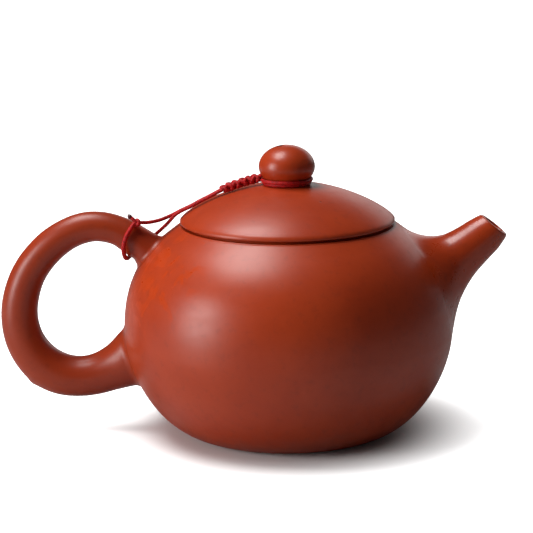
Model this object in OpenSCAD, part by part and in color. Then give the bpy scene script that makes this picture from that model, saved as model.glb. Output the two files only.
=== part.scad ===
/* [Body] */

// Widest diameter of the pot body
body_d = 90; // [70:1:130]
// Height of the mouth's rim above the table
rim_h = 57.9; // [45:0.1:85]
// Height of the widest circle
belly_h = 27.6; // [22:0.1:42]
// Diameter of the flat base
base_d = 51.2; // [40:0.1:80]
// Thickness of the body wall
wall = 3; // [2.4:0.1:4]
// Thickness of the disc that closes the bottom
base_t = 3; // [2.4:0.1:5]
// Thickness of the ring laid round the mouth
ring_t = 1.3; // [1:0.1:2.5]
// Number of drilled strainer holes round the middle one
strainer_holes = 8; // [4:1:10]
// Diameter of each strainer hole
strainer_d = 2.4; // [1.8:0.1:3]

/* [Lid] */

// Diameter of the lid
lid_d = 58.4; // [46:0.1:84]
// Height of the dome above the lid's edge
dome_h = 9.9; // [7:0.1:14]
// Thickness of the lid at its edge
lid_edge = 0.7; // [0.5:0.1:1.5]
// Thickness of the lid's wall
lid_wall = 3; // [2.4:0.1:4]
// Depth of the flange that drops into the mouth
flange_depth = 7; // [5:0.1:10]
// Thickness of the flange
flange_t = 2.3; // [1.8:0.1:3]
// Gap all round between the flange and the mouth
flange_gap = 0.3; // [0.2:0.05:0.6]
// Diameter of the knob
knob_d = 15.3; // [12:0.1:22]
// Height of the knob's bead
knob_h = 11.8; // [9:0.1:16]
// Diameter of the vent hole
vent_d = 2.1; // [1.5:0.1:3]
// Distance of the vent hole from the knob's axis
vent_off = 1.5; // [0:0.1:2.5]

/* [Spout and handle] */

// How far the spout reaches past the body
spout_reach = 14.9; // [10:0.1:24]
// Thickness of the spout's wall at its tip
spout_wall = 1.6; // [1.2:0.1:2.4]
// How far the handle reaches past the body
handle_reach = 33.8; // [28:0.1:48]
// Width of the handle from side to side, as a factor
handle_width = 1; // [0.8:0.05:1.3]

/* [Cord] */

// Diameter of the knotting cord
cord_d = 1.05; // [0.8:0.05:1.5]
// Diameter of each knot in the braid
braid_d = 2.8; // [2.2:0.1:4]
// Number of knots in the braid
braid_knots = 5; // [3:1:7]

/* [Hidden] */

clay = [0.62, 0.27, 0.17];
lid_clay = [0.66, 0.3, 0.19];
red = [0.72, 0.05, 0.08];

// The shape numbers below were drawn for a pot of these sizes
drawn_r = 45;
drawn_rim = 57.9;
drawn_belly = 27.6;
drawn_handle = 33.8;
drawn_spout = 14.9;

round_fn = 96;
body_r = body_d / 2;
base_r = base_d / 2;
lid_r = lid_d / 2;
knob_r = knob_d / 2;
cord_r = cord_d / 2;
braid_r = braid_d / 2;
high = rim_h / drawn_rim;
wide = body_r / drawn_r;

// Fullness of the body's lower and upper curves and of the dome
low_full = 1.7;
up_full = 2.4;
dome_rise = 1.195;
dome_run = 1.86;
curve_steps = 14;

shoulder_h = rim_h - ring_t;
up_h = 35 * (rim_h - belly_h) / (drawn_rim - drawn_belly);
in_up_h = up_h - wall - 1;
ring_r = lid_r + 0.25 * wide;
flange_r = lid_r - 5 * wide;
mouth_r = flange_r + flange_gap;
disc_r = base_r - 1.6;
edge_h = rim_h + lid_edge;
vent_x = -vent_off;

neck_r = 0.61 * knob_r;
seat_h = dome_z(neck_r) - 0.7;
loop_r = knob_r - 0.55;
// The bead's underside stays this far over the cord's upper turn
loop_gap = 0.2316;
knob_h_mid = dome_z(loop_r) + 0.15 + 1.5 * cord_d + loop_gap
    + knob_h / 2 * sqrt(1 - pow((loop_r - cord_r) / knob_r, 2));

// Body curves: quarter of a rounded square, turned about the pot's axis
function low_r(a, top, foot) = foot + (top - foot) * pow(sin(a), 2 / low_full);
function low_z(a, mid, foot) = mid - (mid - foot) * pow(cos(a), 2 / low_full);
function up_r(a, top) = top * pow(cos(a), 2 / up_full);
function up_z(a, mid, rise) = mid + rise * pow(sin(a), 2 / up_full);
// Angle at which the upper curve reaches a radius or a height
function up_a(r, top) = acos(pow(r / top, up_full / 2));
function up_at(z, mid, rise) = asin(pow((z - mid) / rise, up_full / 2));
// Height of the dome's surface at a radius
function dome_z(r) = rim_h + lid_edge + dome_h * pow(sin(acos(pow(r / lid_r, dome_run / 2))), 2 / dome_rise);

function low_curve(top, foot, mid, bottom) = [for (i = [0 : curve_steps])
    let (a = 90 * i / curve_steps) [low_r(a, top, foot), low_z(a, mid, bottom)]];
function up_curve(top, mid, rise, last) = [for (i = [1 : curve_steps])
    let (a = last * i / curve_steps) [up_r(a, top), up_z(a, mid, rise)]];
function back(list) = [for (i = [len(list) - 1 : -1 : 0]) list[i]];

// Smooth curve through a list of points or of stations
function between(a, b, c, d, t) = b + (c - a) * t / 2 + (2 * a - 5 * b + 4 * c - d) * t * t / 2
    + (3 * b - a - 3 * c + d) * t * t * t / 2;
function with_ends(p) = concat([2 * p[0] - p[1]], p, [2 * p[len(p) - 1] - p[len(p) - 2]]);
function smooth(p, n) = let (q = with_ends(p)) concat([for (i = [1 : len(p) - 1]) for (k = [0 : n - 1])
    between(q[i - 1], q[i], q[i + 1], q[i + 2], k / n)], [p[len(p) - 1]]);

// Fits a drawn x to the body's radius and a reach, and a drawn z to the rim's height
function fit_x(x, reach) = min(x, drawn_r) * wide + max(x - drawn_r, 0) * reach;
function fit(s, side, reach) = [side * fit_x(s[0], reach), s[1] * high, side * fit_x(s[2], reach), s[3] * high, s[4]];

// Oval section across the XZ plane through its outer and inner edge points, thinned by a wall
function section(s, thin, sides) = let (
    mid = [(s[0] + s[2]) / 2, 0, (s[1] + s[3]) / 2],
    arm = [(s[0] - s[2]) / 2, 0, (s[1] - s[3]) / 2],
    in = arm * (1 - thin / norm(arm)))
    [for (k = [0 : sides - 1]) let (a = 360 * k / sides) mid + in * cos(a) + [0, (s[4] - thin) * sin(a), 0]];

// Ring of a cord round a point, square to its run
function unit(v) = v / norm(v);
function run(p, i) = unit(p[min(i + 1, len(p) - 1)] - p[max(i - 1, 0)]);
function cord_ring(c, t, side, r) = let (u = unit(cross(t, side)), v = cross(t, u))
    [for (k = [0 : 7]) c + r * (cos(45 * k) * u + sin(45 * k) * v)];

// Outer edge x, z, inner edge x, z and half width, from the upper root to the lower one
handle_drawn = [
    [33.6, 53.2, 39.6, 44.9, 5.2], [36.4, 54.9, 41.2, 46.3, 4.9], [39, 56.5, 42, 47.9, 4.7],
    [41.4, 58.1, 43.4, 48.8, 4.55], [44.4, 59.4, 45.2, 50.2, 4.4], [47.9, 60.5, 47.9, 52.1, 4.2],
    [51.7, 61, 51.7, 52.9, 4.1], [56, 60.8, 54.9, 52.4, 4.15], [61, 59.2, 58.3, 50.9, 4.3],
    [66.4, 56, 61.8, 48.2, 4.45], [70.8, 51.9, 64.7, 45, 4.6], [74.4, 47.2, 66.9, 41.4, 4.8],
    [77, 41.8, 68.2, 37.2, 5], [78.5, 36.2, 68.7, 33.4, 5.1], [78.8, 30.5, 68.4, 30, 5.25],
    [77.8, 24.4, 67.2, 26.6, 5.4], [75, 18.4, 64.9, 23.6, 5.55], [70.4, 13.2, 62.2, 21.7, 5.6],
    [64.6, 10.2, 59.4, 20.7, 5.6], [58.4, 9.4, 56.4, 20.5, 5.6], [52.4, 9.9, 53, 21.5, 5.8],
    [47.4, 11.1, 49.3, 24, 6.3], [43, 12.1, 45.9, 27.7, 7.2], [38.8, 12.8, 43.3, 28.8, 7.6]];

// Upper edge x, z, lower edge x, z and half width, from the root to the tip
spout_drawn = [
    [35.3, 50.9, 43.6, 30.2, 9.6], [37.3, 52.1, 46, 31.4, 8.8], [39.3, 52.7, 47, 34.9, 7.9],
    [41.5, 53.1, 48.6, 38.5, 7.2], [43.9, 54, 50.9, 42.3, 6.6], [46.4, 55.3, 53.4, 45.3, 6.05],
    [48.8, 56.8, 55.6, 47.7, 5.6], [50.9, 58, 57.6, 49.9, 5.15], [52.9, 59, 59.9, 53.4, 4.5]];

// Over the lid: share of the lid's radius, side offset of each strand, height over the dome
over_lid = [[0.575, 0.62, 1.75], [0.64, 0.62, 1.45], [0.72, 0.62, 1.2], [0.81, 0.62, 1.2],
    [0.9, 0.62, 1.3], [0.975, 0.62, 1.9]];
// From the lid's edge to the handle: x, y and z
a_to_handle = [[30.7, 0.7, 60.1], [32.6, 0.2, 59.3], [35, -0.9, 58.6], [37.6, -2, 58.3], [39.3, -2.7, 58.4]];
b_to_handle = [[30.4, -0.6, 60.1], [31.4, -0.3, 59], [32.6, 1.3, 57.4], [34, 3.1, 55.8], [35.6, 4.9, 54.1],
    [37.2, 5.7, 52.7], [38.5, 5.9, 51.6]];
loop_drawn = [[39, 5.9, 51.2], [41, 5.6, 49.7], [42.3, 4.6, 48.5], [43.3, 2.5, 48], [43.8, 0, 48],
    [44.2, -2.5, 48.8], [44.4, -4.6, 50.4], [44.4, -5.35, 52.3], [44, -5.45, 54], [43.3, -5.2, 55.7],
    [42.3, -4.6, 57.2], [41.6, -3.8, 58.2], [41, -3.3, 58.6]];
tail_drawn = [[40.9, -3.3, 58.7], [42, -3.2, 59.6], [43.2, -3.1, 60.6]];
knot_drawn = [40.9, -3.2, 58.5];

handle_at = [for (s = handle_drawn) let (f = fit(s, -1, handle_reach / drawn_handle))
    [f[0], f[1], f[2], f[3], f[4] * handle_width]];
spout_at = [for (s = spout_drawn) fit(s, 1, spout_reach / drawn_spout)];
function place(p) = [-fit_x(p[0], handle_reach / drawn_handle), p[1] * handle_width, p[2] * high];
function over(side) = [for (p = over_lid) [-p[0] * lid_r, side * p[1], dome_z(p[0] * lid_r) + p[2]]];
line_a = concat(over(1), [for (p = a_to_handle) place(p)]);
line_b = concat(over(-1), [for (p = b_to_handle) place(p)]);
line_loop = [for (p = loop_drawn) place(p)];
line_tail = [for (p = tail_drawn) place(p)];
across = [0, 1, 0];
along_handle = [-0.95, 0, 0.3];
upright = [0.6, 0, -0.8];

// Skin over a list of rings: closed by two flat ends, or joined into a loop
module skin(rings, looped) {
    sides = len(rings[0]);
    count = len(rings);
    last = looped ? count - 1 : count - 2;
    bands = [for (i = [0 : last]) for (k = [0 : sides - 1])
        let (j = (i + 1) % count, m = (k + 1) % sides)
        each [[i * sides + k, i * sides + m, j * sides + m], [i * sides + k, j * sides + m, j * sides + k]]];
    ends = looped ? [] : [[for (k = [sides - 1 : -1 : 0]) k], [for (k = [0 : sides - 1]) (count - 1) * sides + k]];
    polyhedron(points = [for (r = rings) each r], faces = concat(bands, ends), convexity = 10);
}

module cord(points, side, steps) {
    p = smooth(points, steps);
    skin([for (i = [0 : len(p) - 1]) cord_ring(p[i], run(p, i), side, cord_r)], false);
}

module body_shell() {
    top_a = up_at(shoulder_h, belly_h, up_h);
    in_a = up_a(mouth_r, body_r - wall);
    outer = concat(low_curve(body_r, base_r, belly_h, 0), up_curve(body_r, belly_h, up_h, top_a));
    inner = concat(low_curve(body_r - wall, disc_r, belly_h, base_t),
        up_curve(body_r - wall, belly_h, in_up_h, in_a));
    color(clay) difference() {
        rotate_extrude($fn = round_fn)
            polygon(concat([[disc_r, 0]], outer, [[mouth_r, shoulder_h]], back(inner)));
        translate([0.86 * body_r, 0, 0.7 * rim_h])
            rotate([0, 68, 0])
                for (i = [0 : strainer_holes])
                    rotate([0, 0, 360 * i / strainer_holes])
                        translate([i == strainer_holes ? 0 : 2 * strainer_d, 0, -2 * wall])
                            cylinder(d = strainer_d, h = 5 * wall, $fn = 24);
    }
}

module base_disc() {
    color(clay) cylinder(r = disc_r, h = base_t, $fn = round_fn);
}

module mouth_ring() {
    soft = ring_t / 3;
    color(clay) rotate_extrude($fn = round_fn)
        polygon([[mouth_r, shoulder_h], [ring_r, shoulder_h], [ring_r, rim_h - soft],
            [ring_r - soft, rim_h], [mouth_r + soft, rim_h], [mouth_r, rim_h - soft]]);
}

module spout() {
    stations = smooth(spout_at, 3);
    outer = [for (s = stations) section(s, 0, 32)];
    inner = [for (i = [len(stations) - 1 : -1 : 0])
        section(stations[i], spout_wall * (1.5 - 0.5 * i / (len(stations) - 1)), 32)];
    color(clay) skin(back(concat(outer, inner)), true);
}

module handle() {
    color(clay) skin([for (s = smooth(handle_at, 2)) section(s, 0, 28)], false);
}

module lid_cap() {
    soft = lid_edge / 2;
    inner_r = flange_r - flange_t;
    outer = [for (i = [0 : curve_steps]) let (r = lid_r + (neck_r - lid_r) * sin(90 * i / curve_steps))
        [r, dome_z(r)]];
    inner = [for (i = [0 : curve_steps]) let (a = 90 * i / curve_steps)
        [inner_r * sin(a), rim_h + (seat_h - lid_wall - rim_h) * pow(cos(a), 1.2)]];
    color(lid_clay) difference() {
        rotate_extrude($fn = round_fn)
            polygon(concat([[lid_r - soft, rim_h], [lid_r, rim_h + soft]], outer,
                [[neck_r, seat_h], [0, seat_h]], inner));
        translate([vent_x, 0, rim_h])
            cylinder(d = vent_d, h = 2 * dome_h, $fn = 32);
    }
}

module lid_flange() {
    color(lid_clay) rotate_extrude($fn = round_fn)
        translate([flange_r - flange_t, rim_h - flange_depth])
            square([flange_t, flange_depth]);
}

module lid_knob() {
    low = -asin(sqrt(1 - pow(neck_r / knob_r, 2)));
    bead = [for (i = [0 : 2 * curve_steps]) let (a = low + (90 - low) * i / (2 * curve_steps))
        [knob_r * cos(a), knob_h_mid + knob_h / 2 * sin(a)]];
    color(lid_clay) difference() {
        rotate_extrude($fn = round_fn)
            polygon(concat([[0, seat_h], [neck_r, seat_h]], bead));
        translate([vent_x, 0, seat_h - 1])
            cylinder(d = vent_d, h = 2 * knob_h, $fn = 32);
    }
}

module knob_loop() {
    color(red) for (i = [0 : 1])
        translate([0, 0, dome_z(loop_r) + 0.15 + cord_d * (0.5 + i)])
            rotate_extrude($fn = round_fn)
                translate([loop_r, 0])
                    circle(d = cord_d, $fn = 24);
}

module braid() {
    first = loop_r + 0.45 * braid_d;
    last = 0.562 * lid_r;
    color(red) for (i = [0 : braid_knots - 1])
        let (s = i / (braid_knots - 1), x = first + (last - first) * s)
            translate([-x, 0, dome_z(x) + braid_r + 0.9 - 0.6 * s])
                sphere(r = braid_r, $fn = 32);
}

module strand_a() {
    color(red) cord(line_a, across, 1);
}

module strand_b() {
    color(red) cord(line_b, across, 1);
}

module handle_loop() {
    color(red) cord(line_loop, along_handle, 1);
}

module handle_knot() {
    color(red) translate(place(knot_drawn)) sphere(r = 1.2 * cord_d, $fn = 32);
}

module cord_tail() {
    color(red) cord(line_tail, across, 1);
}

body_shell();
base_disc();
mouth_ring();
spout();
handle();
lid_cap();
lid_flange();
lid_knob();
knob_loop();
braid();
strand_a();
strand_b();
handle_loop();
handle_knot();
cord_tail();
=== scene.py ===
import math

import bmesh
import bpy
import numpy as np
from bpy.props import FloatProperty, FloatVectorProperty, IntProperty, PointerProperty
from mathutils import Matrix, Vector


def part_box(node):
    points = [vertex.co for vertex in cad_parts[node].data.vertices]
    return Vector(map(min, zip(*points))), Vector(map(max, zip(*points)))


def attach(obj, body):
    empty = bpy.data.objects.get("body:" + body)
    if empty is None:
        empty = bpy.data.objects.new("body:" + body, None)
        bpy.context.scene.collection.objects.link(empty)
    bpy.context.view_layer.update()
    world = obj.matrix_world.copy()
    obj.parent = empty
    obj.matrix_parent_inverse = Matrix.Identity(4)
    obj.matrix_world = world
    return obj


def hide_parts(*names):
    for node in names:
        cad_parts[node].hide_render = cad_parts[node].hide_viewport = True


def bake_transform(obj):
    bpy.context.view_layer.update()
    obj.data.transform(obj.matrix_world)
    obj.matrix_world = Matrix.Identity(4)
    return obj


bl_info = {
    "name": "Red Clay Teapot",
    "version": (1, 0, 0),
    "blender": (4, 5, 0),
    "location": "View3D > Sidebar > Teapot",
    "description": "Builds a round unglazed clay teapot with a corded lid around its fixed frame",
    "category": "Add Mesh",
}

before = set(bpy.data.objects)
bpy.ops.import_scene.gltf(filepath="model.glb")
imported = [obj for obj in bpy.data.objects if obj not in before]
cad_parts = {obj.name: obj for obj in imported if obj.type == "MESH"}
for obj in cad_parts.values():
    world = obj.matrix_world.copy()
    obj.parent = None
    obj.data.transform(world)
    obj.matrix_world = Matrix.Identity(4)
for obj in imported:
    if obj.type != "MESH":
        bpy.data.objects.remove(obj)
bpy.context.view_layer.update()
MM = 0.001


def corner_mm(node, high, axis):
    """One coordinate of a CAD node's box, in millimetres."""
    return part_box(node)[1 if high else 0][axis] / MM


# Sizes of the clay, in millimetres, read from the frame
BODY_R = corner_mm("body_shell", True, 0)
RIM_H = corner_mm("mouth_ring", True, 2)
RING_BASE = corner_mm("mouth_ring", False, 2)
RING_R = corner_mm("mouth_ring", True, 0)
BASE_T = corner_mm("base_disc", True, 2)
DISC_R = corner_mm("base_disc", True, 0)
LID_R = corner_mm("lid_cap", True, 0)
FLANGE_R = corner_mm("lid_flange", True, 0)
FLANGE_LOW = corner_mm("lid_flange", False, 2)
KNOB_R = corner_mm("lid_knob", True, 0)
KNOB_TOP = corner_mm("lid_knob", True, 2)
KNOB_LOW = corner_mm("lid_knob", False, 2)

# Curves of the clay: heights, fullness and walls, in millimetres
BELLY_H = 27.6
BASE_R = 25.6
UP_RISE = 35.0
LOW_FULL = 1.7
UP_FULL = 2.4
WALL = 3.0
LID_EDGE = 0.7
DOME_H = 9.9
DOME_RISE = 1.195
DOME_RUN = 1.86
KNOB_H = 11.8
NECK = 0.61
FLANGE_T = 2.3
MOUTH_R = FLANGE_R + 0.3
VENT_X = -1.5
VENT_R = 1.05
SPOUT_WALL = 1.6
CORD_R = 0.525

# The body's own curve ends at this radius, and a soft bend with this pull carries it to the ring
SHOULDER_R = 33.5
SHOULDER_PULL = 2.4
# Upper edge of the mouth ring: its roundness, and the radii where the seat under the lid's edge lies
RING_SOFT = 0.22
SEAT_R = (27.6, 27.2)
# Fillets of the roots: how far their ends sink into the wall and how strongly both ends pull
FILLET_SINK = 0.004
FILLET_PULL = 0.6
# Strainer: a ring of holes round a middle one, drilled through the wall behind the spout
STRAINER_AT = (0.86 * BODY_R, 0, 0.7 * RIM_H)
STRAINER_TILT = math.radians(68)
STRAINER_HOLES = 8
STRAINER_RING_R = 4.8
STRAINER_R = 1.2
# The handle's unevenness from the hand (height, length of its waves) and its raised nick
HAND_RISE = 0.09
HAND_WAVE = 15
NICK_AT = (-71.2, 0.0, 13.4)
NICK_SPREAD = (1.7, 2.6, 1.1)
NICK_RISE = 0.42
# Cord: radius, rise and sway of each turn round the knob, then both ends of the braid, the knot on
# the handle, and the point at the lid's edge that both strands pass
KNOB_TURNS = ((6.15, 0.04, 0.03), (6.66, 0.84, 0.10))
BRAID_FROM = 7.0
BRAID_TO = 18.3
KNOT_AT = (-40.9, -3.2, 58.5)
LID_EDGE_AT = (-29.7, 0, 60)

# Camera, in metres and radians
CAMERA_AIM = (-0.005816, 0, 0.045232)
CAMERA_DISTANCE = 0.6
CAMERA_TILT = math.radians(12.2)
CAMERA_ROLL = -0.012
LENS_MM = 148.26
SENSOR_MM = 36
# Soft boxes, in metres: width and height, place, and the point they face
SOFT_BOXES = {
    "key": ((0.32, 0.60), (-0.81, -0.38, 0.22), (0, 0, 0.04)),
    "top": ((0.50, 0.36), (-0.27, 0.04, 0.80), (0, 0, 0.05)),
    "back": ((1.2, 0.6), (0.5, 1.2, 0.4), (0, 0, 0.03)),
}
# The floor glows to the camera beyond this reach from the pot's axis, in metres, and sends back
# this share of its light to the clay
FLOOR_GLOW = (0.030, 0.060)
FLOOR_RETURN = 0.5

# Outer edge x, z, inner edge x, z and half width of the handle, from the upper root to the lower one
HANDLE = [
    [33.6, 53.2, 39.6, 44.9, 5.2], [36.4, 54.9, 41.2, 46.3, 4.9], [39, 56.5, 42, 47.9, 4.7],
    [41.4, 58.1, 43.4, 48.8, 4.55], [44.4, 59.4, 45.2, 50.2, 4.4], [47.9, 60.5, 47.9, 52.1, 4.2],
    [51.7, 61, 51.7, 52.9, 4.1], [56, 60.8, 54.9, 52.4, 4.15], [61, 59.2, 58.3, 50.9, 4.3],
    [66.4, 56, 61.8, 48.2, 4.45], [70.8, 51.9, 64.7, 45, 4.6], [74.4, 47.2, 66.9, 41.4, 4.8],
    [77, 41.8, 68.2, 37.2, 5], [78.5, 36.2, 68.7, 33.4, 5.1], [78.8, 30.5, 68.4, 30, 5.25],
    [77.8, 24.4, 67.2, 26.6, 5.4], [75, 18.4, 64.9, 23.6, 5.55], [70.4, 13.2, 62.2, 21.7, 5.6],
    [64.6, 10.2, 59.4, 20.7, 5.6], [58.4, 9.4, 56.4, 20.5, 5.6], [52.4, 9.9, 53, 21.5, 5.8],
    [47.4, 11.1, 49.3, 24, 6.3], [43, 12.1, 45.9, 27.7, 7.2], [38.8, 12.8, 43.3, 28.8, 7.6],
]
# Upper edge x, z, lower edge x, z and half width of the spout, from the root to the tip
SPOUT = [
    [35.3, 50.9, 43.6, 30.2, 9.6], [37.3, 52.1, 46, 31.4, 8.8], [39.3, 52.7, 47, 34.9, 7.9],
    [41.5, 53.1, 48.6, 38.5, 7.2], [43.9, 54, 50.9, 42.3, 6.6], [46.4, 55.3, 53.4, 45.3, 6.05],
    [48.8, 56.8, 55.6, 47.7, 5.6], [50.9, 58, 57.6, 49.9, 5.15], [52.9, 59, 59.9, 53.4, 4.5],
]
# Route of the cord: over the lid (share of its radius, side, height over the dome), then x, y, z
OVER_LID = [
    [0.548, 0.6, 1.9], [0.6, 0.62, 1.6], [0.64, 0.62, 1.45], [0.72, 0.62, 1.2], [0.81, 0.62, 1.2],
    [0.9, 0.62, 1.3], [0.975, 0.62, 1.9],
]
A_TO_HANDLE = [[30.7, 0.7, 60.1], [32.6, 0.2, 59.3], [35, -0.9, 58.6], [37.6, -2, 58.3], [39.3, -2.7, 58.4]]
B_TO_HANDLE = [
    [30.4, -0.6, 60.1], [31.4, -0.3, 59], [32.6, 1.3, 57.4], [34, 3.1, 55.8], [35.6, 4.9, 54.1],
    [37.2, 5.7, 52.7], [38.5, 5.9, 51.6],
]
LOOP = [
    [39, 5.9, 51.2], [41, 5.6, 49.7], [42.3, 4.6, 48.5], [43.3, 2.5, 48], [43.8, 0, 48],
    [44.2, -2.5, 48.8], [44.4, -4.6, 50.4], [44.4, -5.35, 52.3], [44, -5.45, 54], [43.3, -5.2, 55.7],
    [42.3, -4.6, 57.2], [41.6, -3.8, 58.2], [41, -3.3, 58.6],
]
TAIL = [[40.9, -3.3, 58.7], [41.8, -3.2, 59.5], [42.7, -3.1, 60.2]]


# ---------------------------------------------------------------- curves


def dome_z(r):
    """Height of the lid's outer surface at a radius."""
    lift = np.sin(np.arccos(np.clip(r / LID_R, 0, 1) ** (DOME_RUN / 2))) ** (2 / DOME_RISE)
    return RIM_H + LID_EDGE + DOME_H * lift


def body_curve(top, foot, mid, bottom, rise, last, steps=64):
    """Half section of a wall surface from its foot to its shoulder, as rows of radius and height."""
    a = np.linspace(0, math.pi / 2, steps)
    low = np.c_[foot + (top - foot) * np.sin(a) ** (2 / LOW_FULL),
                mid - (mid - bottom) * np.cos(a).clip(0) ** (2 / LOW_FULL)]
    b = np.linspace(0, last, steps)[1:]
    up = np.c_[top * np.cos(b) ** (2 / UP_FULL), mid + rise * np.sin(b) ** (2 / UP_FULL)]
    return np.vstack([low, up])


def outer_wall():
    """Outside of the body from its foot to the mouth ring, whose side carries the shoulder on smoothly."""
    last = math.acos((SHOULDER_R / BODY_R) ** (UP_FULL / 2))
    curve = body_curve(BODY_R, BASE_R, BELLY_H, 0, UP_RISE, last)
    t = np.linspace(0, 1, 16)[1:, None]
    start, slope = curve[-1], curve[-1] - curve[-2]
    bend = start + slope / np.linalg.norm(slope) * SHOULDER_PULL
    end = np.array([RING_R + 0.05, RING_BASE + 0.42])
    shoulder = (1 - t) ** 2 * start + 2 * t * (1 - t) * bend + t ** 2 * end
    return np.vstack([curve, shoulder])


OUTER = outer_wall()
OUTER_RUN = np.r_[0, np.cumsum(np.hypot(*np.diff(OUTER, axis=0).T))]


def wall_r(z):
    """Radius of the body's outside at a height; nothing above the ring."""
    return np.interp(z, OUTER[:, 1], OUTER[:, 0], right=0)


def on_wall(angle, run):
    """Point and inward normal on the body's outside, at an angle and a run along its section."""
    r = np.interp(run, OUTER_RUN, OUTER[:, 0])
    z = np.interp(run, OUTER_RUN, OUTER[:, 1])
    ahead = np.array([np.interp(run + 0.2, OUTER_RUN, OUTER[:, k]) for k in (0, 1)])
    behind = np.array([np.interp(run - 0.2, OUTER_RUN, OUTER[:, k]) for k in (0, 1)])
    along = (ahead - behind) / np.linalg.norm(ahead - behind)
    inward = np.array([-along[1] * math.cos(angle), -along[1] * math.sin(angle), along[0]])
    return np.array([r * math.cos(angle), r * math.sin(angle), z]), inward


def smooth(points, steps, passes=0):
    """Smooth curve through rows of numbers, evened out by a few passes that keep its ends."""
    p = np.array(points, float)
    q = np.vstack([2 * p[0] - p[1], p, 2 * p[-1] - p[-2]])
    t = np.arange(steps)[:, None] / steps
    rows = []
    for a, b, c, d in zip(q, q[1:], q[2:], q[3:]):
        rows.append(b + (c - a) * t / 2 + (2 * a - 5 * b + 4 * c - d) * t ** 2 / 2
                    + (3 * b - a - 3 * c + d) * t ** 3 / 2)
    out = np.vstack(rows + [p[-1:]])
    for _ in range(passes):
        out[1:-1] = (out[:-2] + 2 * out[1:-1] + out[2:]) / 4
    return out


def even(points, step):
    """The same line with points an even step apart."""
    run = np.r_[0, np.cumsum(np.linalg.norm(np.diff(points, axis=0), axis=1))]
    count = max(3, round(run[-1] / step))
    at = np.linspace(0, run[-1], count)
    return np.c_[[np.interp(at, run, points[:, k]) for k in range(points.shape[1])]].T


def unit(v):
    """Vectors of length one."""
    return v / np.linalg.norm(v, axis=-1, keepdims=True)


# ---------------------------------------------------------------- meshes


def new_piece(name, verts, faces, uv=None, sharp=35):
    """A smooth closed mesh object from points in millimetres, its faces turned outwards."""
    mesh = bpy.data.meshes.new(name)
    mesh.from_pydata([tuple(float(c) * MM for c in v) for v in verts], [], faces)
    if uv is not None:
        layer = mesh.uv_layers.new(name="Run")
        layer.data.foreach_set("uv", np.array(uv, np.float32).ravel())
    bm = bmesh.new()
    bm.from_mesh(mesh)
    bmesh.ops.recalc_face_normals(bm, faces=bm.faces)
    if bm.calc_volume(signed=True) < 0:
        bmesh.ops.reverse_faces(bm, faces=bm.faces)
    bm.to_mesh(mesh)
    bm.free()
    return smooth_piece(name, mesh, sharp)


def smooth_piece(name, mesh, sharp):
    """An object of a mesh that is shaded smooth but for edges sharper than an angle in degrees."""
    mesh.polygons.foreach_set("use_smooth", [True] * len(mesh.polygons))
    mesh.set_sharp_from_angle(angle=math.radians(sharp))
    obj = bpy.data.objects.new(name, mesh)
    bpy.context.scene.collection.objects.link(obj)
    return obj


def lathe(name, outline, segments=256, sharp=35):
    """Turns a closed outline of radius and height about the pot's axis."""
    angle = np.linspace(0, 2 * math.pi, segments, endpoint=False)
    verts, rows, faces = [], [], []
    for r, z in outline:
        if r < 1e-6:
            rows.append([len(verts)] * segments)
            verts.append((0, 0, z))
        else:
            rows.append(list(range(len(verts), len(verts) + segments)))
            verts += [(r * math.cos(a), r * math.sin(a), z) for a in angle]
    for a, b in zip(rows, rows[1:] + rows[:1]):
        for k in range(segments):
            m = (k + 1) % segments
            face = list(dict.fromkeys([a[k], a[m], b[m], b[k]]))
            if len(face) > 2:
                faces.append(face)
    return new_piece(name, verts, faces, sharp=sharp)


def skin(rings, looped=False, first=0):
    """Points, faces and run-and-turn coordinates of a skin over rings of points."""
    n, s = rings.shape[:2]
    mid = rings.mean(axis=1)
    run = np.r_[0, np.cumsum(np.linalg.norm(np.diff(mid, axis=0), axis=1))]
    faces, uv = [], []
    for i in range(n if looped else n - 1):
        j = (i + 1) % n
        for k in range(s):
            m = (k + 1) % s
            faces.append([first + i * s + k, first + i * s + m, first + j * s + m, first + j * s + k])
            end = run[j] if j else run[-1] + 1
            uv += [(run[i], k / s), (run[i], (k + 1) / s), (end, (k + 1) / s), (end, k / s)]
    if not looped:
        faces.append([first + k for k in range(s)])
        faces.append([first + (n - 1) * s + k for k in range(s)])
        uv += [(0, 0)] * s + [(run[-1], 0)] * s
    return list(rings.reshape(-1, 3)), faces, uv


def tube_rings(line, radius, sides, closed=False, ref=None):
    """Rings of a round cord along a line, without twist; ref keeps a closed line's rings in step."""
    ahead = np.roll(line, -1, 0) - np.roll(line, 1, 0)
    if not closed:
        ahead[0], ahead[-1] = line[1] - line[0], line[-1] - line[-2]
    t = unit(ahead)
    if ref is not None:
        u = unit(np.cross(t, ref))
    else:
        start = np.cross(t[0], [0, 0, 1.0] if abs(t[0][2]) < 0.9 else [1.0, 0, 0])
        u = [unit(start)]
        for i in range(1, len(t)):
            u.append(unit(u[-1] - np.dot(u[-1], t[i]) * t[i]))
        u = np.array(u)
    v = np.cross(t, u)
    a = np.linspace(0, 2 * math.pi, sides, endpoint=False)
    r = np.broadcast_to(radius, len(line))[:, None, None]
    return line[:, None] + r * (np.cos(a)[None, :, None] * u[:, None] + np.sin(a)[None, :, None] * v[:, None])


def joined(parts):
    """One list of points, faces and coordinates from several skins."""
    verts, faces, uv = [], [], []
    for rings, looped in parts:
        v, f, c = skin(rings, looped, first=len(verts))
        verts, faces, uv = verts + v, faces + f, uv + c
    return verts, faces, uv


def round_ends(line, radius):
    """Radii along a cord that close its two ends roundly."""
    run = np.r_[0, np.cumsum(np.linalg.norm(np.diff(line, axis=0), axis=1))]
    radius = np.broadcast_to(radius, len(line))
    reach = np.minimum(run, run[-1] - run) / radius
    return radius * np.sqrt(1 - (1 - reach.clip(0.02, 1)) ** 2)


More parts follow.
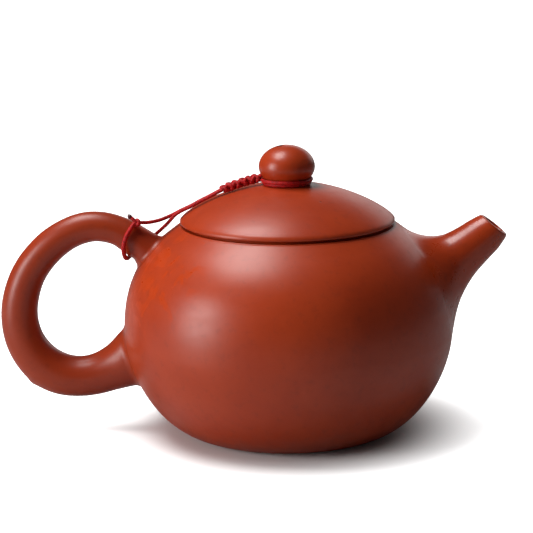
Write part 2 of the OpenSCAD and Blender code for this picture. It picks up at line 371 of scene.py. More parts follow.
def sections(stations, sides, thin=0.0):
    """Oval rings across the XZ plane through each station's two edge points."""
    s = np.asarray(stations)
    mid = np.c_[(s[:, 0] + s[:, 2]) / 2, np.zeros(len(s)), (s[:, 1] + s[:, 3]) / 2]
    arm = np.c_[(s[:, 0] - s[:, 2]) / 2, np.zeros(len(s)), (s[:, 1] - s[:, 3]) / 2]
    size = np.linalg.norm(arm, axis=1, keepdims=True)
    thin = np.broadcast_to(thin, len(s))[:, None]
    arm = arm * (1 - thin / size)
    a = np.linspace(0, 2 * math.pi, sides, endpoint=False)
    side = np.zeros((len(s), sides, 3))
    side[:, :, 1] = (s[:, 4:5] - thin) * np.sin(a)
    return mid[:, None] + arm[:, None] * np.cos(a)[None, :, None] + side


def leaves_wall(line, depth):
    """Index and share at which a line that starts in the clay comes out of the body, or as deep in it."""
    gap = np.hypot(line[:, 0], line[:, 1]) - wall_r(line[:, 2]) + depth
    i = int(np.argmax(gap > 0))
    return i - 1 + gap[i - 1] / (gap[i - 1] - gap[i])


def uneven(rings, size, length, seed):
    """Rings with the slow unevenness that fingers leave: its height and its length in millimetres."""
    mid = rings.mean(axis=1, keepdims=True)
    out = unit(rings - mid)
    flow = np.zeros(rings.shape[:2])
    for k in range(4):
        turn = np.array([math.sin(seed + 1.7 * k), math.cos(2.3 * seed + k),
                         math.sin(3.1 * seed - 2.1 * k)])
        wave = length * (1 + 0.37 * k)
        flow += np.sin(rings @ unit(turn) * (2 * math.pi / wave) + seed * k)
    return rings + out * (flow * size / 4)[:, :, None]


def nicked(rings):
    """Rings with the small raised nick on the handle's lower left edge."""
    near = np.exp(-(((rings - np.array(NICK_AT)) / np.array(NICK_SPREAD)) ** 2).sum(axis=2))
    out = unit(rings - rings.mean(axis=1, keepdims=True))
    return rings + out * (NICK_RISE * near)[:, :, None]


def cut_lines(rings, count, start_depth=0.0, end_depth=None):
    """Each long line of a skin, cut where it meets the body or as deep in it, with evenly spread points."""
    lines = rings.transpose(1, 0, 2)
    out = []
    for line in lines:
        first, last = leaves_wall(line, start_depth), len(line) - 1.0
        if end_depth is not None:
            last = len(line) - 1 - leaves_wall(line[::-1], end_depth)
        at = np.linspace(first, last, count)
        index = np.arange(len(line))
        out.append(np.c_[[np.interp(at, index, line[:, k]) for k in range(3)]].T)
    return np.array(out)


def root_fillet(lines, size, steps=12, depth=1.2):
    """Rings that carry the start of a cut skin softly onto the body, then down into its wall.

    Returns the fillet's rings, from inside the wall outwards, and the lines shortened to meet it.
    """
    at = lines[:, 0]
    turn = np.unwrap(np.arctan2(at[:, 1], at[:, 0]))
    run = np.interp(at[:, 2], OUTER[:, 1], OUTER_RUN)
    radius = np.hypot(at[:, 0], at[:, 1])
    away = unit(np.c_[radius * (turn - turn.mean()), run - run.mean()])
    rings = [[] for _ in range(steps + 2)]
    kept = []
    for k, line in enumerate(lines):
        length = np.r_[0, np.cumsum(np.linalg.norm(np.diff(line, axis=0), axis=1))]
        leave = np.array([np.interp(size, length, line[:, c]) for c in range(3)])
        to, inward = on_wall(turn[k] + away[k, 0] * size / radius[k], run[k] + away[k, 1] * size)
        further = size + 0.3
        past = on_wall(turn[k] + away[k, 0] * further / radius[k], run[k] + away[k, 1] * further)[0]
        to = to + inward * FILLET_SINK
        near_wall = to - unit(past - to) * np.linalg.norm(to - at[k]) * FILLET_PULL
        near_tube = leave + (at[k] - leave) * FILLET_PULL
        rings[0].append(to + inward * depth)
        for j in range(steps + 1):
            t = 1 - j / steps
            rings[j + 1].append((1 - t) ** 3 * leave + 3 * t * (1 - t) ** 2 * near_tube
                                + 3 * t ** 2 * (1 - t) * near_wall + t ** 3 * to)
        onward = np.linspace(size, length[-1], line.shape[0])
        kept.append(np.c_[[np.interp(onward, length, line[:, c]) for c in range(3)]].T)
    return np.array(rings), np.array(kept)


def cut_with(obj, cutters, sharp=35):
    """Cuts closed pieces out of a piece and keeps the result as its mesh."""
    for cutter in cutters:
        cut = obj.modifiers.new("Cut", "BOOLEAN")
        cut.operation, cut.solver, cut.object = "DIFFERENCE", "EXACT", cutter
    bpy.context.view_layer.update()
    done = bpy.data.meshes.new_from_object(obj.evaluated_get(bpy.context.evaluated_depsgraph_get()))
    old = obj.data
    obj.modifiers.clear()
    obj.data = done
    bpy.data.meshes.remove(old)
    for cutter in cutters:
        bpy.data.objects.remove(cutter)
    done.polygons.foreach_set("use_smooth", [True] * len(done.polygons))
    done.set_sharp_from_angle(angle=math.radians(sharp))


def drill(name, centre, axis, radius, length):
    """A round cutter along an axis, with its middle at a point."""
    along = unit(np.array(axis, float))
    line = np.array([np.array(centre) + along * d for d in np.linspace(-length / 2, length / 2, 3)])
    return new_piece(name, *skin(tube_rings(line, radius, 40))[:2])


def place(obj, body, slot, mat, *nodes):
    """Gives a finished piece its material and body, and hides the CAD nodes it stands for."""
    obj.data.materials.clear()
    obj.data.materials.append(mat)
    if nodes:
        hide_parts(*nodes)
    if body:
        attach(obj, body)
    return obj


# ---------------------------------------------------------------- materials


def add(tree, kind, inputs=None, **settings):
    """Adds a node; each input is a value or a socket to link from."""
    n = tree.nodes.new(kind)
    for key, value in settings.items():
        setattr(n, key, value)
    for key, value in (inputs or {}).items():
        if isinstance(value, bpy.types.NodeSocket):
            tree.links.new(value, n.inputs[key])
        else:
            n.inputs[key].default_value = value
    return n


def group(name, ins, outs):
    """A new shader node group with its sockets, its input node and its output node."""
    tree = bpy.data.node_groups.new(name, "ShaderNodeTree")
    kinds = {"c": "NodeSocketColor", "f": "NodeSocketFloat", "v": "NodeSocketVector"}
    for label, kind in ins:
        tree.interface.new_socket(label, in_out="INPUT", socket_type=kinds[kind])
    for label, kind in outs:
        tree.interface.new_socket(label, in_out="OUTPUT", socket_type=kinds[kind])
    return tree, tree.nodes.new("NodeGroupInput").outputs, tree.nodes.new("NodeGroupOutput").inputs


def calc(tree, operation, a, b=0.0, clamp=False):
    """Result of a sum on values or sockets."""
    return add(tree, "ShaderNodeMath", {0: a, 1: b}, operation=operation, use_clamp=clamp).outputs[0]


def span(tree, value, low, high, to_low=0.0, to_high=1.0):
    """Value between two limits, spread over another pair, with soft ends."""
    n = add(tree, "ShaderNodeMapRange", {"Value": value, "From Min": low, "From Max": high,
                                         "To Min": to_low, "To Max": to_high}, interpolation_type="SMOOTHSTEP")
    return n.outputs[0]


def blend_colour(tree, share, a, b):
    """Colour between two, by a share."""
    return add(tree, "ShaderNodeMix", {0: share, 6: a, 7: b}, data_type="RGBA").outputs[2]


def noise(tree, at, scale, detail, **more):
    """Noise of a scale and a detail, from 0 to 1."""
    return add(tree, "ShaderNodeTexNoise", {"Vector": at, "Scale": scale, "Detail": detail, **more}).outputs[0]


def clay_skin_group():
    """Fired, hand-burnished clay: mottling, sand grains, burnishing lines, wiped patches, and pin holes darkened
    with painted shade.
    """
    tree, i, o = group(
        "Clay skin",
        [("Clay", "c"), ("Pale clay", "c"), ("Dark grain", "c"), ("Wiped clay", "c"),
         ("Roughness", "f"), ("Lines", "v"), ("Wiped at", "v"), ("Wiped reach", "f")],
        [("Colour", "c"), ("Roughness", "f"), ("Height", "f")],
    )
    at = add(tree, "ShaderNodeTexCoord").outputs["Object"]
    broad = noise(tree, at, 38.0, 5.0, Roughness=0.6)
    fine = noise(tree, at, 420.0, 4.0, Roughness=0.65)
    grain = noise(tree, at, 2400.0, 2.0, Roughness=0.6)
    stretched = add(tree, "ShaderNodeVectorMath", {0: at, 1: i["Lines"]}, operation="MULTIPLY").outputs[0]
    lines = noise(tree, stretched, 60.0, 4.0, Roughness=0.7)
    sand = add(tree, "ShaderNodeTexVoronoi", {"Vector": at, "Scale": 900.0}, feature="F1").outputs["Distance"]
    dots = span(tree, sand, 0.16, 0.05)
    holes = add(tree, "ShaderNodeTexVoronoi", {"Vector": at, "Scale": 95.0}, feature="F1")
    near = span(tree, holes.outputs["Distance"], 0.045, 0.02)
    few = span(tree, add(tree, "ShaderNodeSeparateColor", {0: holes.outputs["Color"]}).outputs[0], 0.70, 0.72)
    pin = calc(tree, "MULTIPLY", near, few)
    off = add(tree, "ShaderNodeVectorMath", {0: at, 1: i["Wiped at"]}, operation="DISTANCE").outputs["Value"]
    reach = add(tree, "ShaderNodeMapRange", {"Value": off, "From Min": i["Wiped reach"], "From Max": 0.004,
                                             "To Min": 0.0, "To Max": 1.0}).outputs[0]
    patch = noise(tree, at, 150.0, 3.0, Distortion=1.2)
    wiped = calc(tree, "MULTIPLY", span(tree, patch, 0.50, 0.62), span(tree, reach, 0.0, 0.5), True)
    colour = blend_colour(tree, span(tree, broad, 0.36, 0.66), i["Clay"], i["Pale clay"])
    colour = blend_colour(tree, calc(tree, "MULTIPLY", span(tree, fine, 0.5, 0.75), 0.25), colour, i["Dark grain"])
    colour = blend_colour(tree, calc(tree, "MULTIPLY", dots, 0.16), colour, i["Pale clay"])
    colour = blend_colour(tree, calc(tree, "MULTIPLY", wiped, 0.6), colour, i["Wiped clay"])
    # Painted shade: the pin holes take the dark grain colour, for the shade inside them.
    colour = blend_colour(tree, calc(tree, "MULTIPLY", pin, 0.8), colour, i["Dark grain"])
    rough = calc(tree, "ADD", i["Roughness"], calc(tree, "MULTIPLY", calc(tree, "SUBTRACT", lines, 0.5), 0.12))
    rough = calc(tree, "ADD", rough, calc(tree, "MULTIPLY", calc(tree, "SUBTRACT", fine, 0.5), 0.10))
    rough = calc(tree, "SUBTRACT", rough, calc(tree, "MULTIPLY", wiped, 0.08), True)
    height = calc(tree, "MULTIPLY", grain, 0.55)
    height = calc(tree, "ADD", height, calc(tree, "MULTIPLY", lines, 0.9))
    height = calc(tree, "ADD", height, calc(tree, "MULTIPLY", fine, 0.6))
    height = calc(tree, "SUBTRACT", height, calc(tree, "MULTIPLY", pin, 2.5))
    for label, value in (("Colour", colour), ("Roughness", rough), ("Height", height)):
        tree.links.new(value, o[label])
    return tree


def cord_weave_group():
    """Round braid of a thin cord, from its run in millimetres and its turn: height, and colour with painted shade
    between the yarns.
    """
    tree, i, o = group("Cord weave", [("Colour", "c"), ("Deep colour", "c"), ("Yarns", "f"), ("Pitch", "f")],
                       [("Colour", "c"), ("Height", "f")])
    uv = add(tree, "ShaderNodeSeparateXYZ", {0: add(tree, "ShaderNodeUVMap", uv_map="Run").outputs[0]}).outputs
    along = calc(tree, "DIVIDE", uv[0], i["Pitch"])
    around = calc(tree, "MULTIPLY", uv[1], i["Yarns"])
    waves = []
    for op in ("ADD", "SUBTRACT"):
        phase = calc(tree, "MULTIPLY", calc(tree, op, along, around), 2 * math.pi)
        waves.append(calc(tree, "ABSOLUTE", calc(tree, "SINE", phase)))
    weave = calc(tree, "MAXIMUM", waves[0], waves[1])
    at = add(tree, "ShaderNodeTexCoord").outputs["Object"]
    fuzz = noise(tree, at, 1500.0, 3.0)
    # Painted shade: the colour darkens in the grooves between the yarns, where less light reaches.
    shade = calc(tree, "MULTIPLY", span(tree, weave, 0.45, 0.95), span(tree, fuzz, 0.25, 0.6), True)
    tree.links.new(blend_colour(tree, shade, i["Deep colour"], i["Colour"]), o["Colour"])
    tree.links.new(calc(tree, "ADD", weave, calc(tree, "MULTIPLY", fuzz, 0.4)), o["Height"])
    return tree


def shared_group(name, build):
    """The node group of a name, built once."""
    return bpy.data.node_groups.get(name) or build()


def material(name, tree_group, values, bump, bump_size, shader):
    """A Principled material whose colour, roughness and bump come from one surface group."""
    found = bpy.data.materials.get(name)
    if found:
        return found
    mat = bpy.data.materials.new(name)
    mat.use_nodes = True
    tree = mat.node_tree
    tree.nodes.clear()
    skin_node = add(tree, "ShaderNodeGroup", node_tree=tree_group)
    for key, value in values.items():
        skin_node.inputs[key].default_value = value
    relief = add(tree, "ShaderNodeBump", {"Strength": bump, "Distance": bump_size,
                                          "Height": skin_node.outputs["Height"]})
    body = add(tree, "ShaderNodeBsdfPrincipled", {"Base Color": skin_node.outputs["Colour"],
                                                  "Normal": relief.outputs[0], **shader})
    if "Roughness" in skin_node.outputs:
        tree.links.new(skin_node.outputs["Roughness"], body.inputs["Roughness"])
    add(tree, "ShaderNodeOutputMaterial", {"Surface": body.outputs[0]})
    return mat


def rgba(colour, shade=1.0):
    """A colour with its fourth number, darkened by a shade under 1."""
    return (*(shade * c for c in colour[:3]), 1.0)


def clay(name, lines, roughness_shift=0.0, wiped=None, shade=1.0):
    """Clay as it shows on one piece: how its burnishing lines run, where it was wiped, how much painted shade
    darkens it.
    """
    look = bpy.context.scene.teapot_clay
    at, reach = wiped or ((0, 0, 1.0), 0.01)
    return material(
        name, shared_group("Clay skin", clay_skin_group),
        {"Clay": rgba(look.colour, shade), "Pale clay": rgba(look.pale, shade),
         "Dark grain": rgba(look.grain, shade), "Wiped clay": rgba(look.wiped),
         "Roughness": look.roughness + roughness_shift, "Lines": lines,
         "Wiped at": at, "Wiped reach": reach},
        look.bump, 0.00006, {"IOR": 1.5, "Specular IOR Level": 0.5})


def cord_material():
    """The red cord: its weave, its yarns and the painted shade between them."""
    look = bpy.context.scene.teapot_cord
    return material(
        "Red knotting cord", shared_group("Cord weave", cord_weave_group),
        {"Colour": rgba(look.colour), "Deep colour": rgba(look.deep), "Yarns": 4.0, "Pitch": look.pitch / MM},
        0.6, 0.00008, {"Roughness": 0.55, "Specular IOR Level": 0.35})


# ---------------------------------------------------------------- settings


class TeapotClay(bpy.types.PropertyGroup):
    colour: FloatVectorProperty(name="Clay", description="Colour of the fired clay", subtype="COLOR",
                                default=(0.40, 0.036, 0.0048), min=0, max=1)
    pale: FloatVectorProperty(name="Pale clay", description="Colour of the paler mottling", subtype="COLOR",
                              default=(0.46, 0.047, 0.008), min=0, max=1)
    # Dark grains are the clay's own colour; in the pin holes the same colour is painted shade.
    grain: FloatVectorProperty(name="Dark grain", description="Colour of the dark grains and pin holes",
                               subtype="COLOR", default=(0.20, 0.020, 0.006), min=0, max=1)
    wiped: FloatVectorProperty(name="Wiped clay", description="Colour where a damp cloth wiped the clay",
                               subtype="COLOR", default=(0.52, 0.050, 0.005), min=0, max=1)
    roughness: FloatProperty(name="Roughness", description="How matt the burnished clay is", default=0.37,
                             min=0.1, max=1)
    bump: FloatProperty(name="Relief", description="Strength of the clay's fine relief", default=0.35, min=0, max=1)


class TeapotCord(bpy.types.PropertyGroup):
    colour: FloatVectorProperty(name="Cord", description="Colour of the cord's yarns", subtype="COLOR",
                                default=(0.62, 0.005, 0.007), min=0, max=1)
    # Painted shade in the grooves between the cord's yarns.
    deep: FloatVectorProperty(name="Painted shade between yarns", description="Colour between the cord's yarns", subtype="COLOR",
                              default=(0.26, 0.001, 0.002), min=0, max=1)
    pitch: FloatProperty(name="Braid pitch", description="Length of one crossing of the cord's own yarns",
                         default=0.00085, min=0.0003, max=0.003, unit="LENGTH", subtype="DISTANCE", precision=5)
    turns: IntProperty(name="Knot rings", description="Number of interlocked rings in the braid of knots",
                       default=12, min=5, max=20)


class TeapotShape(bpy.types.PropertyGroup):
    handle_root: FloatProperty(name="Handle root",
                               description="Width of the soft joint where the handle meets the body",
                               default=0.0014, min=0.0005, max=0.006,
                               unit="LENGTH", subtype="DISTANCE", precision=5)
    spout_root: FloatProperty(name="Spout root",
                              description="Width of the soft joint where the spout meets the body",
                              default=0.0068, min=0.001, max=0.009,
                              unit="LENGTH", subtype="DISTANCE", precision=5)
    lid_gap: FloatProperty(name="Lid gap",
                           description="Open height between the lid's edge and the mouth ring's edge",
                           default=0.00072, min=0.0001, max=0.001,
                           unit="LENGTH", subtype="DISTANCE", precision=5)


class TeapotStage(bpy.types.PropertyGroup):
    floor: FloatVectorProperty(name="Floor", description="Colour of the studio floor", subtype="COLOR",
                               default=(0.93, 0.93, 0.93), min=0, max=1)
    key: FloatProperty(name="Key light", description="Power of the soft box at the front left", default=6.0,
                       min=0, max=100, unit="POWER")
    top: FloatProperty(name="Top light", description="Power of the soft box overhead", default=5.6, min=0, max=100,
                       unit="POWER")
    back: FloatProperty(name="Back light", description="Power of the wide light behind", default=2.2, min=0,
                        max=100, unit="POWER")
    air: FloatProperty(name="Room light", description="Strength of the even light of the room", default=0.05,
                       min=0, max=2)


# ---------------------------------------------------------------- operators


class TEAPOT_OT_stage(bpy.types.Operator):
    """Makes the camera, the floor and the studio's soft lights"""

    bl_idname = "teapot.stage"
    bl_label = "Stage"

    def execute(self, context):
        scene = context.scene
        look = scene.teapot_stage
        scene.view_settings.view_transform = "Standard"
        self.camera(scene)
        self.floor(scene, look)
        for name, (size, at, to) in SOFT_BOXES.items():
            self.soft_box(name.title(), getattr(look, name), size, at, to)
        world = bpy.data.worlds.new("Room")
        world.use_nodes = True
        ground = world.node_tree.nodes["Background"]
        ground.inputs["Color"].default_value = (1, 1, 1, 1)
        ground.inputs["Strength"].default_value = look.air
        scene.world = world
        return {"FINISHED"}

    def camera(self, scene):
        tilt, roll = CAMERA_TILT, CAMERA_ROLL
        ahead = Vector((0, math.cos(tilt), -math.sin(tilt)))
        right, up = Vector((1, 0, 0)), Vector((0, math.sin(tilt), math.cos(tilt)))
        side = right * math.cos(roll) + up * math.sin(roll)
        top = up * math.cos(roll) - right * math.sin(roll)
        data = bpy.data.cameras.new("Camera")
        data.lens, data.sensor_width = LENS_MM, SENSOR_MM
        camera = bpy.data.objects.new("Camera", data)
        turn = Matrix((side, top, -ahead)).transposed().to_4x4()
        camera.matrix_world = Matrix.Translation(Vector(CAMERA_AIM) - ahead * CAMERA_DISTANCE) @ turn
        scene.collection.objects.link(camera)
        scene.camera = camera

    def floor(self, scene, look):
        mesh = bpy.data.meshes.new("Floor")
        mesh.from_pydata([(-4, -4, 0), (4, -4, 0), (4, 6, 0), (-4, 6, 0)], [], [(0, 1, 2, 3)])
        floor = bpy.data.objects.new("Floor", mesh)
        scene.collection.objects.link(floor)
        mat = bpy.data.materials.new("Studio floor")
        mat.use_nodes = True
        tree = mat.node_tree
        body = tree.nodes["Principled BSDF"]
        body.inputs["Base Color"].default_value = rgba(look.floor)
        body.inputs["Roughness"].default_value = 0.7
        body.inputs["Specular IOR Level"].default_value = 0.1
        at = add(tree, "ShaderNodeTexCoord").outputs["Object"]
        off = add(tree, "ShaderNodeVectorMath", {0: at}, operation="LENGTH").outputs["Value"]
        far = span(tree, off, *FLOOR_GLOW)
        grey = add(tree, "ShaderNodeCombineColor", {0: far, 1: far, 2: far}).outputs[0]
        seen = add(tree, "ShaderNodeLightPath").outputs["Is Camera Ray"]
        glow = blend_colour(tree, seen, (0, 0, 0, 1), grey)
        tree.links.new(glow, body.inputs["Emission Color"])
        tree.links.new(blend_colour(tree, seen, rgba(look.floor, FLOOR_RETURN), rgba(look.floor)),
                       body.inputs["Base Color"])
        body.inputs["Emission Strength"].default_value = 1.0
        mesh.materials.append(mat)

    def soft_box(self, name, power, size, at, to):
        data = bpy.data.lights.new(name, "AREA")
        data.shape, data.size, data.size_y, data.energy = "RECTANGLE", *size, power
        light = bpy.data.objects.new(name, data)
        light.location = at
        light.rotation_mode = "QUATERNION"
        light.rotation_quaternion = (Vector(at) - Vector(to)).to_track_quat("Z", "Y")
        bpy.context.scene.collection.objects.link(light)


class TEAPOT_OT_cord(bpy.types.Operator):
    """Makes the red cord: turns round the knob, braid, two strands, loop round the handle, knot and tail"""

    bl_idname = "teapot.cord"
    bl_label = "Cord"

    def execute(self, context):
        look = context.scene.teapot_cord
        red = cord_material()
        loops = []
        a = np.linspace(0, 2 * math.pi, 160, endpoint=False)
        for r, rise, sway in KNOB_TURNS:
            wide = r + sway * np.cos(a + 2.4)
            lift = 0.06 * np.sin(3 * a + 9 * sway)
            foot = dome_z(KNOB_TURNS[0][0]) + CORD_R
            line = np.c_[wide * np.cos(a), wide * np.sin(a), foot + rise + lift]
            loops.append((tube_rings(line, CORD_R, 16, True, np.array([0, 0, 1.0])), True))
        v, f, uv = joined(loops)
        place(new_piece("knob_loop_cord", v, f, uv), "tether", "red_cord", red, "knob_loop")
        self.braid(look, red)
        line_a = self.route(1, A_TO_HANDLE + TAIL)
        line_b = self.route(-1, B_TO_HANDLE + LOOP)
        tip = self.tail_tip(line_a)
        knot = self.handle_knot(red)
        self.strand("cord_strand_a", line_a, red, (-39.4, 0, 58), LID_EDGE_AT, ("strand_a", "cord_tail"),
                    [knot, tip])
        self.strand("cord_strand_b", line_b, red, (-37, 0, 57), LID_EDGE_AT, ("strand_b", "handle_loop"), [],
                    np.interp(-line_b[:, 0], [37, 42], [0.95, 1.16]))
        return {"FINISHED"}

    def route(self, side, rest):
        """A strand's centre line: over the lid on one side of the other strand, then along the rest."""
        over = [[-s * LID_R, side * y, dome_z(s * LID_R) + up] for s, y, up in OVER_LID]
        return even(smooth(over + [[-x, y, z] for x, y, z in rest], 12, 4), 0.35)

    def strand(self, name, line, red, start, end, nodes, on_it, thick=0.95):
        """A strand of cord along its line over the lid and down to the handle, rounded at both ends and tied to no
        body.
        """
        rings = tube_rings(line, round_ends(line, CORD_R * thick), 16)
        v, f, uv = skin(rings)
        obj = place(new_piece(name, v, f, uv), None, "red_cord", red, *nodes)
        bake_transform(obj)

    def braid(self, look, red):
        """Row of snake knots: saddle-shaped rings of cord that lock into one another round a core."""
        x = np.linspace(BRAID_FROM, BRAID_TO, 60)
        s = (x - BRAID_FROM) / (BRAID_TO - BRAID_FROM)
        core = np.c_[-x, 0 * x, dome_z(x) + 2.05 - 0.5 * s]
        core = even(smooth(core[::6], 8, 4), 0.2)
        parts = [(tube_rings(core, round_ends(core, CORD_R * 1.3), 12), False)]
        a = np.linspace(0, 2 * math.pi, 40, endpoint=False)
        index = np.linspace(2, len(core) - 3, look.turns)
        for n, at in enumerate(index):
            i = int(round(at))
            ahead = unit(core[i + 1] - core[i - 1])
            side = np.array([0, 1.0, 0])
            up = np.cross(ahead, side)
            spin = 0.35 * math.sin(2.1 * n)
            wide = 0.80 + 0.05 * math.sin(3.7 * n) - (0.16 if n in (0, look.turns - 1) else 0)
            saddle = 0.42 * np.cos(2 * a + n * math.pi)
            tilt = 0.30 * np.sin(a + n * math.pi)
            line = (core[i] + np.outer(saddle + tilt, ahead) + np.outer(wide * np.cos(a + spin), side)
                    + np.outer(wide * np.sin(a + spin), up))
            parts.append((tube_rings(line, CORD_R * 1.03, 12, True, ahead), True))
        v, f, uv = joined(parts)
        place(new_piece("snake_knot_braid", v, f, uv), "tether", "red_cord", red, "braid")

    def handle_knot(self, red):
        """Small tight hitch on top of the handle: two crossed turns of cord."""
        centre = np.array(KNOT_AT)
        a = np.linspace(0, 2 * math.pi, 40, endpoint=False)
        parts = []
        for ahead, shift in ((np.array([0.95, 0.28, -0.1]), 0.35), (np.array([-0.45, -0.35, 0.8]), -0.3)):
            ahead = unit(ahead)
            side = unit(np.cross(ahead, [0.2, 0.9, 0.3]))
            up = np.cross(ahead, side)
            line = (centre + ahead * shift + np.outer(0.72 * np.cos(a), side) + np.outer(0.72 * np.sin(a), up)
                    + np.outer(0.2 * np.sin(2 * a), ahead))
            parts.append((tube_rings(line, CORD_R * 0.95, 12, True, ahead), True))
        v, f, uv = joined(parts)
        return place(new_piece("handle_knot_cord", v, f, uv), "pot", "red_cord", red, "handle_knot")

    def tail_tip(self, line):
        """Melted, darkened end of the tail: a small lopsided bead."""
        look = bpy.context.scene.teapot_cord
        ahead = unit(line[-1] - line[-4])
        t = np.linspace(-1, 1, 18)
        run = line[-1] + np.outer(t * 0.75 - 0.1, ahead) + np.outer(0.08 * np.sin(2.3 * t), [0, 0.6, 0.8])
        round_off = np.sqrt((1 - (t * 0.995) ** 2).clip(1e-4))
        rings = tube_rings(run, CORD_R * 1.14 * round_off * (1 + 0.08 * np.cos(4 * t)), 16)
        v, f, uv = skin(rings)
        # The bead's dark colour is its own, from melting; its second colour is painted shade between the yarns.
        burnt = material(
            "Melted cord end", shared_group("Cord weave", cord_weave_group),
            {"Colour": (0.10, 0.006, 0.008, 1), "Deep colour": (0.03, 0.002, 0.003, 1), "Yarns": 2.0,
             "Pitch": look.pitch / MM * 2}, 0.3, 0.00005, {"Roughness": 0.32})
        return place(new_piece("cord_tail_tip", v, f, uv), "pot", "red_cord", burnt)


class TEAPOT_OT_body(bpy.types.Operator):
    """Makes the body shell with its strainer holes, the base disc and the mouth ring"""

    bl_idname = "teapot.body"
    bl_label = "Body"

    def execute(self, context):
        round_body = clay("Clay of the body", (1, 1, 9), wiped=((-0.033, -0.020, 0.047), 0.019))
        edge_r = np.interp(RING_BASE, OUTER[:, 1], OUTER[:, 0])
        place(self.shell(edge_r), "pot", "red_clay", round_body, "body_shell")
        disc = lathe("base_disc_clay", [(0, 0), (DISC_R - 0.02, 0), (DISC_R - 0.02, BASE_T - 0.3),
                                        (DISC_R - 0.3, BASE_T), (0, BASE_T)])
        place(disc, "pot", "red_clay", round_body, "base_disc")
        ring = self.ring(edge_r, RIM_H - context.scene.teapot_shape.lid_gap / MM)
        place(ring, "pot", "red_clay", round_body, "mouth_ring")
        return {"FINISHED"}

    def shell(self, edge_r):
        inner_last = math.acos((MOUTH_R / (BODY_R - WALL)) ** (UP_FULL / 2))
        inner = body_curve(BODY_R - WALL, DISC_R, BELLY_H, BASE_T, UP_RISE - WALL - 1, inner_last, 32)
        shell_top = OUTER[OUTER[:, 1] < RING_BASE - 0.05]
        outline = np.vstack([[[DISC_R, 0]], shell_top, [[edge_r, RING_BASE], [MOUTH_R, RING_BASE]], inner[::-1]])
        shell = lathe("body_shell_clay", outline)
        holes = []
        turn = Matrix.Rotation(STRAINER_TILT, 3, "Y")
        for i in range(STRAINER_HOLES + 1):
            a = 2 * math.pi * i / STRAINER_HOLES
            r = 0 if i == STRAINER_HOLES else STRAINER_RING_R
            off = turn @ Vector((r * math.cos(a), r * math.sin(a), 0))
            centre = off + Vector(STRAINER_AT) + turn @ Vector((0, 0, WALL / 2))
            holes.append(drill(f"hole_{i}", centre, turn @ Vector((0, 0, 1)), STRAINER_R, 5 * WALL))
        cut_with(shell, holes)
        return shell

    def ring(self, edge_r, low):
        t = np.linspace(0, math.pi / 2, 8)
        lip = np.c_[RING_R + 0.02 - RING_SOFT + RING_SOFT * np.cos(t), low - RING_SOFT + RING_SOFT * np.sin(t)]
        seat = [(SEAT_R[0], low), (SEAT_R[1], RIM_H - 0.02), (MOUTH_R + 0.35, RIM_H - 0.02),
                (MOUTH_R, RIM_H - 0.4), (MOUTH_R, RING_BASE)]
        rise = OUTER[(OUTER[:, 1] > RING_BASE) & (OUTER[:, 1] < low - RING_SOFT - 0.02)]
        return lathe("mouth_ring_clay", np.vstack([[[edge_r, RING_BASE]], rise, lip, seat]), sharp=50)


class TEAPOT_OT_spout(bpy.types.Operator):
    """Makes the hollow spout, its rounded lip and its soft root on the body"""

    bl_idname = "teapot.spout"
    bl_label = "Spout"

    def execute(self, context):
        size = context.scene.teapot_shape.spout_root / MM
        stations = smooth(SPOUT, 24, 30)
        sides = 72
        lines = cut_lines(sections(stations, sides), 120)
        fillet, lines = root_fillet(lines, size)
        outer = lines.transpose(1, 0, 2)
        last = stations[-1:]
        out = unit(np.array([last[0, 3] - last[0, 1], 0, last[0, 0] - last[0, 2]]))
        out = out if out[0] > 0 else -out
        t = np.linspace(0, math.pi / 2, 6)
        soft = 0.55
        bend = [(soft * (1 - math.cos(a)), out * soft * (math.sin(a) - 1)) for a in t]
        lip = [sections(last, sides, thin)[0] + back for thin, back in bend]
        inner_lip = [sections(last, sides, SPOUT_WALL - thin)[0] + back for thin, back in bend[::-1]]
        share = np.linspace(0, 1, len(stations))
        wall = SPOUT_WALL * (1.5 - 0.5 * share)
        inner = cut_lines(sections(stations, sides, wall), 60, start_depth=1.2).transpose(1, 0, 2)
        rings = np.concatenate([fillet, outer[1:-4], lip, inner_lip, inner[::-1][3:]])
        piece = new_piece("spout_clay", *skin(rings, looped=True)[:2], sharp=50)
        place(piece, "pot", "red_clay", clay("Clay of the spout", (4, 4, 1.5), -0.08), "spout")
        return {"FINISHED"}


class TEAPOT_OT_handle(bpy.types.Operator):
    """Makes the loop handle with its two soft roots on the body"""

    bl_idname = "teapot.handle"
    bl_label = "Handle"

    def execute(self, context):
        size = context.scene.teapot_shape.handle_root / MM
        stations = smooth([[-s[0], s[1], -s[2], s[3], s[4]] for s in HANDLE], 24, 40)
        rings = nicked(uneven(sections(stations, 56), HAND_RISE, HAND_WAVE, seed=2.0))
        lines = cut_lines(rings, 240, end_depth=0.0)
        upper, lines = root_fillet(lines, size)
        lower, lines = root_fillet(lines[:, ::-1], size * 1.4)
        middle = lines[:, ::-1].transpose(1, 0, 2)
        rings = np.concatenate([upper, middle[1:-1], lower[::-1]])
        piece = new_piece("handle_clay", *skin(rings)[:2], sharp=50)
        # The handle's clay is darkened to 0.8 as painted shade, for the key light that reaches the handle less.
        place(piece, "pot", "red_clay", clay("Clay of the handle", (3, 1, 3), shade=0.8), "handle")
        return {"FINISHED"}


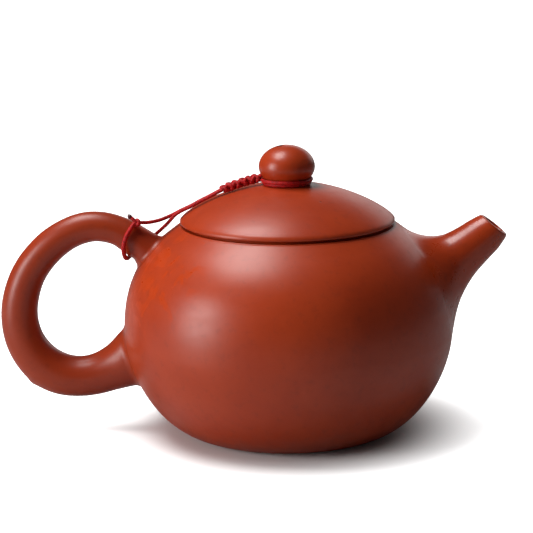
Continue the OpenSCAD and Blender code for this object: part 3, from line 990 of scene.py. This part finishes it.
class TEAPOT_OT_lid(bpy.types.Operator):
    """Makes the domed lid, its flange and its bead knob with the vent hole"""

    bl_idname = "teapot.lid"
    bl_label = "Lid"

    def execute(self, context):
        surface = clay("Clay of the lid", (1, 1, 9))
        neck_r = NECK * KNOB_R
        inner_r = FLANGE_R - FLANGE_T
        a = np.linspace(0, math.pi / 2, 60)
        r = LID_R + (neck_r - LID_R) * np.sin(a)
        dome = np.c_[r, dome_z(r)]
        b = np.linspace(0, math.pi / 2, 24)
        under = np.c_[inner_r * np.sin(b), RIM_H + (KNOB_LOW - WALL - RIM_H) * np.cos(b).clip(0) ** 1.2]
        t = np.linspace(0, math.pi / 2, 7)
        soft = 0.28
        edge = np.c_[LID_R - soft + soft * np.sin(t), RIM_H + soft - soft * np.cos(t)]
        cap = lathe("lid_cap_clay", np.vstack([edge, dome, [[neck_r, KNOB_LOW], [0, KNOB_LOW]], under]),
                    sharp=50)
        cut_with(cap, [drill("vent_low", (VENT_X, 0, KNOB_LOW), (0, 0, 1), VENT_R, 14)], 50)
        place(cap, "lid", "red_clay", surface, "lid_cap")
        c = np.linspace(0, math.pi, 9)[1:-1]
        bevel = 0.7
        straight = FLANGE_LOW + bevel
        foot = np.c_[FLANGE_R - FLANGE_T / 2 - (FLANGE_T / 2) * np.cos(c), straight - bevel * np.sin(c)]
        flange = lathe("lid_flange_clay", np.vstack([[[inner_r, RIM_H], [inner_r, straight]], foot,
                                                     [[FLANGE_R, straight], [FLANGE_R, RIM_H]]]), sharp=50)
        place(flange, "lid", "red_clay", surface, "lid_flange")
        mid = KNOB_TOP - KNOB_H / 2
        low = -math.asin(math.sqrt(1 - NECK ** 2))
        d = np.linspace(low, math.pi / 2, 72)
        waist = 1 - 0.035 * np.sin(math.pi * (d / low).clip(0, 1) ** 1.9)
        bead = np.c_[KNOB_R * np.cos(d).clip(0) * waist, mid + KNOB_H / 2 * np.sin(d)]
        bead[-1, 0] = 0
        knob = lathe("lid_knob_clay", np.vstack([[[0, KNOB_LOW], [neck_r, KNOB_LOW]], bead]), 144)
        cut_with(knob, [drill("vent_high", (VENT_X, 0, mid), (0, 0, 1), VENT_R, 30)])
        place(knob, "lid", "red_clay", clay("Clay of the knob", (1, 1, 6), -0.04), "lid_knob")
        return {"FINISHED"}


class TEAPOT_PT_maker(bpy.types.Panel):
    """Lists the teapot's pieces and their settings"""

    bl_label = "Clay teapot"
    bl_idname = "TEAPOT_PT_maker"
    bl_space_type = "VIEW_3D"
    bl_region_type = "UI"
    bl_category = "Teapot"

    def draw(self, context):
        for op in OPERATORS:
            self.layout.operator(op.bl_idname)
        for key in SETTINGS:
            box = self.layout.box()
            settings = getattr(context.scene, key)
            for name in settings.__annotations__:
                box.prop(settings, name)


SETTINGS = {"teapot_clay": TeapotClay, "teapot_cord": TeapotCord, "teapot_shape": TeapotShape,
            "teapot_stage": TeapotStage}
OPERATORS = (TEAPOT_OT_stage, TEAPOT_OT_cord, TEAPOT_OT_body, TEAPOT_OT_spout, TEAPOT_OT_handle, TEAPOT_OT_lid)


def register():
    for kind in (*SETTINGS.values(), *OPERATORS, TEAPOT_PT_maker):
        bpy.utils.register_class(kind)
    for key, kind in SETTINGS.items():
        setattr(bpy.types.Scene, key, PointerProperty(type=kind))


def unregister():
    for key in SETTINGS:
        delattr(bpy.types.Scene, key)
    for kind in reversed((*SETTINGS.values(), *OPERATORS, TEAPOT_PT_maker)):
        bpy.utils.unregister_class(kind)


def main():
    register()
    bpy.ops.teapot.stage()
    bpy.ops.teapot.cord()
    bpy.ops.teapot.body()
    bpy.ops.teapot.spout()
    bpy.ops.teapot.handle()
    bpy.ops.teapot.lid()


if __name__ == "__main__":
    main()
